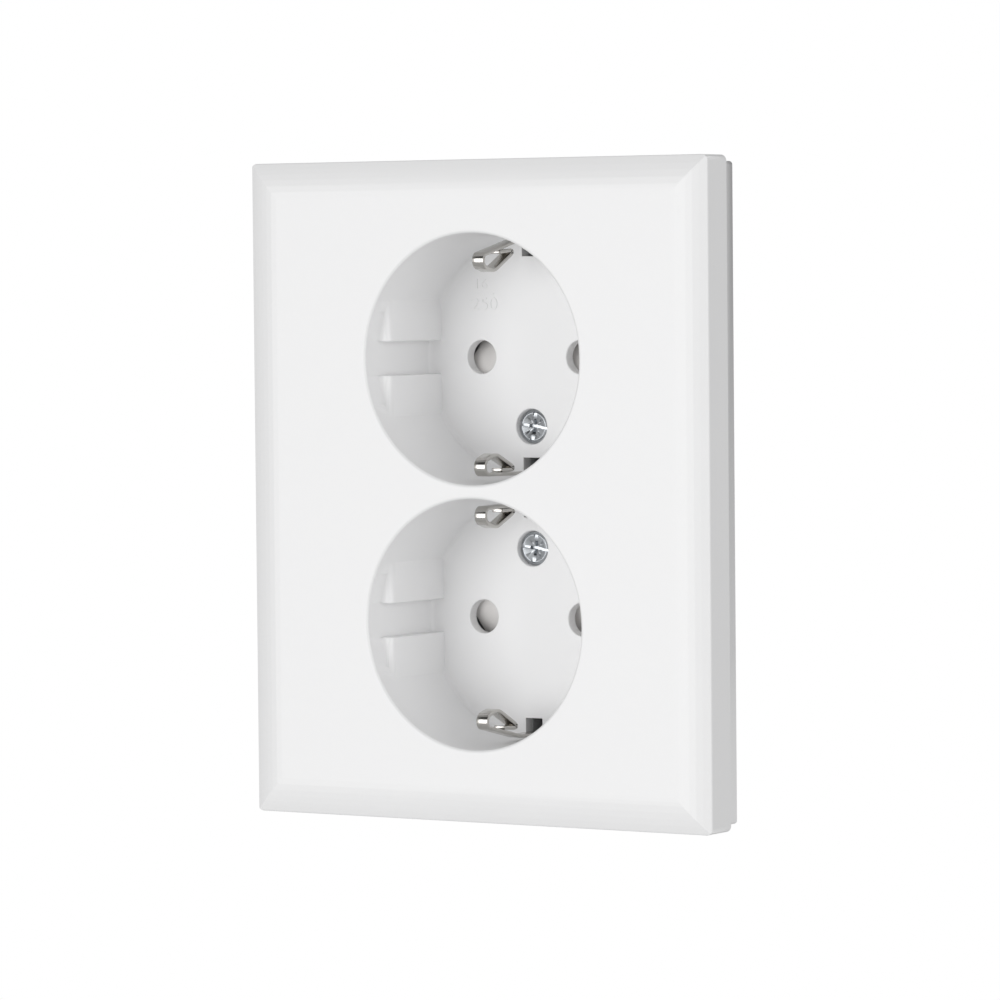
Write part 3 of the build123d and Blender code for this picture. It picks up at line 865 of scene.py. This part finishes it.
    def key(self, side, way, z):
        """A raised key on a well's wall, with a soft front edge."""
        bm = bmesh.new()
        below = FLOOR_Y + self.above_floor
        points = (
            (self.key_out, self.key_front - self.key_fall),
            (self.key_near, self.key_front),
            (self.key_far, below),
            (self.key_out, below),
        )
        verts = [bm.verts.new((side * out, depth, z + way * self.key_low)) for out, depth in points]
        face = bm.faces.new(verts)
        made = bmesh.ops.extrude_face_region(bm, geom=[face], use_keep_orig=True)
        far = [item for item in made["geom"] if isinstance(item, bmesh.types.BMVert)]
        height = way * (self.key_high - self.key_low)
        bmesh.ops.translate(bm, verts=far, vec=(0, 0, height))
        bmesh.ops.recalc_face_normals(bm, faces=bm.faces)
        front = [
            edge
            for edge in bm.edges
            if all(abs(abs(vert.co.x) - self.key_near) < self.hair for vert in edge.verts)
        ]
        for edges, width in ((front, self.key_round), (None, self.key_edge)):
            bmesh.ops.bevel(
                bm,
                geom=edges or self.sharp_edges(bm),
                offset=width,
                offset_type="OFFSET",
                segments=4,
                profile=0.5,
                affect="EDGES",
                material=-1,
                clamp_overlap=False,
            )
        return to_mesh(bm, "key")

    def sharp_edges(self, bm):
        return [edge for edge in bm.edges if edge.calc_face_angle(0) > self.sharp_angle]

    def floor_openings(self, z):
        """Cutters for the pin holes, the slots of the earth strip and the screw's recess."""
        top = FLOOR_Y - self.above_floor
        pin = (
            (0, top, 0),
            (self.pin_radius + self.pin_round, top, 0),
            (self.pin_radius + self.pin_round, FLOOR_Y, 0),
            (self.pin_radius, FLOOR_Y, self.pin_round),
            (self.pin_radius, self.behind_floor, 0),
            (0, self.behind_floor, 0),
        )
        recess_fall = self.recess_depth + self.recess_radius - self.screw_way
        recess = (
            (0, top, 0),
            (self.recess_radius + self.pin_round, top, 0),
            (self.recess_radius + self.pin_round, FLOOR_Y, 0),
            (self.recess_radius, FLOOR_Y, self.pin_round),
            (self.recess_radius, self.recess_depth, 0),
            (self.screw_way, recess_fall, 0),
            (self.screw_way, self.screw_back, 0),
            (0, self.screw_back, 0),
        )
        screw_z = math.copysign(middle("cover_screw_upper").z, z)
        cuts = [self.turned(pin, x, z, self.opening_around) for x in (-PIN_X, PIN_X)]
        cuts.append(self.turned(recess, 0, screw_z, self.opening_around))
        for way in (-1, 1):
            bm = bmesh.new()
            made = bmesh.ops.create_cube(bm, size=1.0)["verts"]
            depth = self.behind_floor - top
            size = Vector((self.slot_width, depth, self.slot_far - self.slot_near))
            bmesh.ops.scale(bm, verts=made, vec=size)
            out = z + way * (self.slot_near + self.slot_far) / 2
            bmesh.ops.translate(bm, verts=made, vec=(0, top + depth / 2, out))
            cuts.append(to_mesh(bm, "slot"))
        return cuts

    def mark(self, context, text):
        if not text:
            bm = bmesh.new()
            bmesh.ops.create_cube(bm, size=1.0)
            return to_mesh(bm, "bar")
        curve = bpy.data.curves.new("number", "FONT")
        curve.body = text
        curve.extrude = 0.1
        holder = bpy.data.objects.new("number", curve)
        context.scene.collection.objects.link(holder)
        context.view_layer.update()
        mesh = bpy.data.meshes.new_from_object(holder)
        bpy.data.objects.remove(holder)
        return mesh

    def fit(self, mesh, place, size):
        """Scales a flat form to a width and height, and stands it on the well's floor."""
        relief = bpy.context.scene.socket_detail.number_relief
        low = Vector(min(vert.co[i] for vert in mesh.vertices) for i in range(3))
        high = Vector(max(vert.co[i] for vert in mesh.vertices) for i in range(3))
        wanted = Vector((size[0] * MM, size[1] * MM, 2 * relief))
        scale = Matrix.Diagonal((*(w / s for w, s in zip(wanted, high - low)), 1))
        centre = Matrix.Translation(-(low + high) / 2)
        stand = Matrix.Rotation(math.pi / 2, 4, "X")
        move = Matrix.Translation((place[0] * MM, FLOOR_Y, place[1] * MM))
        mesh.transform(move @ stand @ scale @ centre)


class SOCKET_OT_mouldings(bpy.types.Operator):
    """Finishes the base housing, its rear cover, the shutters and the release levers"""

    bl_idname = "socket.mouldings"
    bl_label = "Mouldings"

    # The rear cover's edges stay as sharp as its tool leaves them
    sharp_node = "rear_cover"
    nodes = (
        "base_housing",
        "shutter_upper",
        "shutter_lower",
        "release_lever_line",
        "release_lever_earth",
        "release_lever_neutral",
    )

    def execute(self, context):
        dress(self.sharp_node)
        for node in self.nodes:
            dress(node)
            piece = frame["nodes"][node]
            soften(piece, context.scene.socket_detail.moulding_edge)
            piece.modifiers["edge"].loop_slide = False
        return {"FINISHED"}


class SOCKET_OT_clips(bpy.types.Operator):
    """Bends the two earth strips, each with a sprung clip at both ends and a screw collar"""

    bl_idname = "socket.clips"
    bl_label = "Earth clips"

    width = 2.1 * MM

    # Bends of a strip as (distance from the well centre, depth, bend radius) in millimetres,
    # from the web behind the floor to the free end, which is folded back along the arm
    outer_bends = (
        (18.95, 14.75, 1.2),
        (18.9, 2.0, 8.0),
        (16.65, -8.25, 0.95),
        (14.85, -8.25, 1.1),
        (14.05, -5.0, 2.5),
        (17.5, 1.8, 0.45),
        (17.12, -3.2, 0.0),
    )
    inner_bends = (
        (18.95, 14.75, 1.2),
        (18.6, -8.25, 1.2),
        (16.4, -8.25, 1.2),
        (15.4, -5.0, 2.5),
        (18.1, 1.6, 0.45),
        (18.03, -3.2, 0.0),
    )
    bend_segments = 10
    collar_outer, collar_inner = 2.6 * MM, 1.6 * MM
    collar_back = 17.0 * MM

    def execute(self, context):
        self.thickness = context.scene.socket_detail.strip_thickness
        self.edge = context.scene.socket_detail.metal_edge
        upper = self.strip()
        lower = half_turned(upper)
        add_piece("earth_clips_upper", upper, "clip_nickel", ("earth_stirrup_upper",))
        add_piece("earth_clips_lower", lower, "clip_nickel", ("earth_stirrup_lower",))
        return {"FINISHED"}

    def strip(self):
        corners = []
        for way, bends in ((1, reversed(self.outer_bends)), (-1, self.inner_bends)):
            for out, depth, radius in bends:
                point = Vector((-self.width / 2, depth * MM, WELL_Z + way * out * MM))
                corners.append((point, radius * MM))
        bm = bmesh.new()
        bent(bm, corners, self.bend_segments)
        made = bmesh.ops.extrude_edge_only(bm, edges=bm.edges[:])
        pulled = [item for item in made["geom"] if isinstance(item, bmesh.types.BMVert)]
        bmesh.ops.translate(bm, verts=pulled, vec=(self.width, 0, 0))
        ribbon = to_mesh(bm, "ribbon")
        shaped = with_modifiers(ribbon, self.thicken)
        bm = bmesh.new()
        bm.from_mesh(shaped)
        self.collar(bm)
        mesh = to_mesh(bm, "strip")
        smooth(mesh)
        return mesh

    def thicken(self, holder):
        solid = holder.modifiers.new("solid", "SOLIDIFY")
        solid.thickness = self.thickness
        solid.offset = 0.0
        solid.use_even_offset = True
        edge = holder.modifiers.new("edge", "BEVEL")
        edge.width = self.edge
        edge.segments = 3
        edge.limit_method = "ANGLE"
        edge.angle_limit = math.radians(50)
        edge.use_clamp_overlap = False

    def collar(self, bm):
        """Rivets the ring that takes the cover screw to the strip's web."""
        front = self.outer_bends[0][1] * MM + self.thickness / 2
        ring = (
            (self.collar_inner, front, 0),
            (self.collar_outer, front, 0),
            (self.collar_outer, self.collar_back, 0),
            (self.collar_inner, self.collar_back, 0),
            (self.collar_inner, front, 0),
        )
        before = set(bm.verts)
        spun(bm, ring, 32)
        made = [vert for vert in bm.verts if vert not in before]
        place = Vector((0, 0, middle("cover_screw_upper").z))
        bmesh.ops.transform(bm, verts=made, matrix=towards(place, (0, 1, 0)))


class SOCKET_OT_screws(bpy.types.Operator):
    """Turns the cover screws, the frame screws and the claw screws, with drives and threads"""

    bl_idname = "socket.screws"
    bl_label = "Screws"

    # Heads as (radius, distance, bend radius) in millimetres, from the axis to the shank
    cover_head = (
        (0.0, 0.9, 0),
        (2.2, 0.05, 0.12),
        (2.75, 0.28, 0.2),
        (2.75, 0.62, 0),
        (1.25, 2.1, 0),
    )
    frame_head = ((0, 0, 0), (2.5, 0, 0.5), (2.5, 1.6, 0), (1.25, 1.6, 0))
    claw_head = ((0, 0, 0), (2.8, 0, 0.6), (2.8, 1.8, 0), (1.25, 1.8, 0))

    # Where the threads start behind the heads, their crest and root, and the tips
    cover_thread, frame_thread, claw_thread = 3.2 * MM, 2.9 * MM, 2.4 * MM
    crest, root_inset = 1.5 * MM, 0.05 * MM
    tip_length, tip_share = 0.5 * MM, 0.7

    # The claw screws lean outwards: the seat of the left one's head, and its length
    claw_lean, claw_length = math.radians(10), 23.3 * MM
    claw_seat = Vector((-25.4, -1.75, 5.5)) * MM

    def execute(self, context):
        self.pitch = context.scene.socket_detail.thread_pitch
        self.cover_screws()
        self.frame_screws()
        self.claw_screws()
        return {"FINISHED"}

    def screw(self, outline, length, thread_start, cross):
        """A screw from its head's outline in millimetres, with a pointed threaded shank."""
        points = [tuple(value * MM for value in point) for point in outline]
        shank, end = points[-1][0], length - self.tip_length
        points += [(shank, end, 0), (self.tip_share * shank, length, 0), (0, length, 0)]
        root = shank - self.root_inset
        return screw_mesh(points, root, self.crest, (thread_start, end), self.pitch, cross)

    def cover_screws(self):
        low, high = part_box("cover_screw_upper")
        mesh = self.screw(self.cover_head, high.y - low.y, self.cover_thread, True)
        mesh.transform(towards(Vector((0, low.y, middle("cover_screw_upper").z)), (0, 1, 0)))
        lower = half_turned(mesh)
        add_piece("face_screw_upper", mesh, "zinc_steel", ("cover_screw_upper",))
        add_piece("face_screw_lower", lower, "zinc_steel", ("cover_screw_lower",))

    def frame_screws(self):
        low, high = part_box("frame_screw_upper_left")
        mesh = self.screw(self.frame_head, high.y - low.y, self.frame_thread, True)
        for place in ("upper_left", "upper_right", "lower_left", "lower_right"):
            node = "frame_screw_" + place
            low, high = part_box(node)
            centre = middle(node)
            copy = mesh.copy()
            copy.transform(towards(Vector((centre.x, low.y, centre.z)), (0, 1, 0)))
            add_piece("frame_bolt_" + place, copy, "zinc_steel", (node,))
        bpy.data.meshes.remove(mesh)

    def claw_screws(self):
        mesh = self.screw(self.claw_head, self.claw_length, self.claw_thread, False)
        direction = Vector((math.sin(self.claw_lean), math.cos(self.claw_lean), 0))
        head = self.claw_head[-1][1] * MM
        mesh.transform(towards(self.claw_seat - direction * head, direction))
        other = half_turned(mesh)
        add_piece("claw_bolt_left", mesh, "zinc_steel", ("claw_screw_left",))
        add_piece("claw_bolt_right", other, "zinc_steel", ("claw_screw_right",))


class SOCKET_OT_springs(bpy.types.Operator):
    """Winds the two shutter springs, and gives each spring that a joint deforms its own mesh"""

    bl_idname = "socket.springs"
    bl_label = "Shutter springs"

    active_turns = 4.0
    end_turns = 1.0
    steps_a_turn = 28
    wire_sides = 10

    def execute(self, context):
        wire = context.scene.socket_detail.spring_wire
        low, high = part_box("shutter_spring_upper")
        mesh = self.coil(low, high, wire)
        lower = half_turned(mesh)
        upper = add_piece("coil_upper", mesh, "spring_steel", ("shutter_spring_upper",))
        lower = add_piece("coil_lower", lower, "spring_steel", ("shutter_spring_lower",))
        for joint in frame["joints"]:
            for changed in joint.get("deforming_nodes", ()):
                piece = upper if changed["node"].endswith("upper") else lower
                fixed = changed["fixed_end_z_m"]
                length = max(abs(low.z - abs(fixed)), abs(high.z - abs(fixed)))
                keep = 1 - joint["range_m"][1] / length
                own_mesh(piece)
        return {"FINISHED"}

    def coil(self, low, high, wire):
        radius = (high.x - low.x - wire) / 2
        height = high.z - low.z
        rise = (height - wire - 2 * self.end_turns * wire) / self.active_turns
        bm = bmesh.new()
        made = bmesh.ops.create_circle(bm, segments=self.wire_sides, radius=wire / 2)["verts"]
        bmesh.ops.rotate(bm, verts=made, matrix=Matrix.Rotation(math.pi / 2, 3, "X"))
        bmesh.ops.translate(bm, verts=made, vec=(radius, 0, wire / 2))
        ring = made + bm.edges[:]
        ring = wound(bm, ring, self.end_turns, wire, self.steps_a_turn)
        ring = wound(bm, ring, self.active_turns, rise, self.steps_a_turn)
        wound(bm, ring, self.end_turns, wire, self.steps_a_turn)
        open_edges = [edge for edge in bm.edges if edge.is_boundary]
        bmesh.ops.holes_fill(bm, edges=open_edges, sides=self.wire_sides)
        centre = (low + high) / 2
        bmesh.ops.translate(bm, verts=bm.verts, vec=(centre.x, centre.y, low.z))
        mesh = to_mesh(bm, "coil")
        smooth(mesh, 60.0)
        return mesh


class SOCKET_OT_contacts(bpy.types.Operator):
    """Finishes the brass contact bars, the earth bridge and the clamp springs"""

    bl_idname = "socket.contacts"
    bl_label = "Contacts"

    def execute(self, context):
        for node, slot in SLOT_OF.items():
            if slot == "contact_brass" or node.startswith("clamp_spring"):
                dress(node)
                soften(frame["nodes"][node], context.scene.socket_detail.metal_edge)
        return {"FINISHED"}


class SOCKET_OT_frame(bpy.types.Operator):
    """Finishes the support frame and the two claws"""

    bl_idname = "socket.frame"
    bl_label = "Support frame"

    def execute(self, context):
        for node in ("support_frame", "claw_left", "claw_right"):
            dress(node)
            soften(frame["nodes"][node], context.scene.socket_detail.metal_edge)
        return {"FINISHED"}


OPERATORS = (
    SOCKET_OT_stage,
    SOCKET_OT_cover,
    SOCKET_OT_mouldings,
    SOCKET_OT_clips,
    SOCKET_OT_screws,
    SOCKET_OT_springs,
    SOCKET_OT_contacts,
    SOCKET_OT_frame,
)


class SOCKET_PT_looks(bpy.types.Panel):
    """Lists the steps that finish the socket, with their sizes and colours"""

    bl_idname = "SOCKET_PT_looks"
    bl_label = "Double wall socket"
    bl_space_type = "VIEW_3D"
    bl_region_type = "UI"
    bl_category = "Socket"

    def draw(self, context):
        layout = self.layout
        for operator in OPERATORS:
            layout.operator(operator.bl_idname)
        for group in (context.scene.socket_detail, context.scene.socket_colours):
            box = layout.box()
            for name in group.__annotations__:
                box.prop(group, name)


CLASSES = (SocketDetail, SocketColours, *OPERATORS, SOCKET_PT_looks)


def register():
    """Registers the classes, and hangs the sizes and colours on the scene."""
    for cls in CLASSES:
        bpy.utils.register_class(cls)
    bpy.types.Scene.socket_detail = bpy.props.PointerProperty(type=SocketDetail)
    bpy.types.Scene.socket_colours = bpy.props.PointerProperty(type=SocketColours)


def unregister():
    """Takes back what register() did."""
    del bpy.types.Scene.socket_colours
    del bpy.types.Scene.socket_detail
    for cls in reversed(CLASSES):
        bpy.utils.unregister_class(cls)


def main():
    register()
    for operator in OPERATORS:
        group, name = operator.bl_idname.split(".")
        getattr(getattr(bpy.ops, group), name)()


if __name__ == "__main__":
    main()
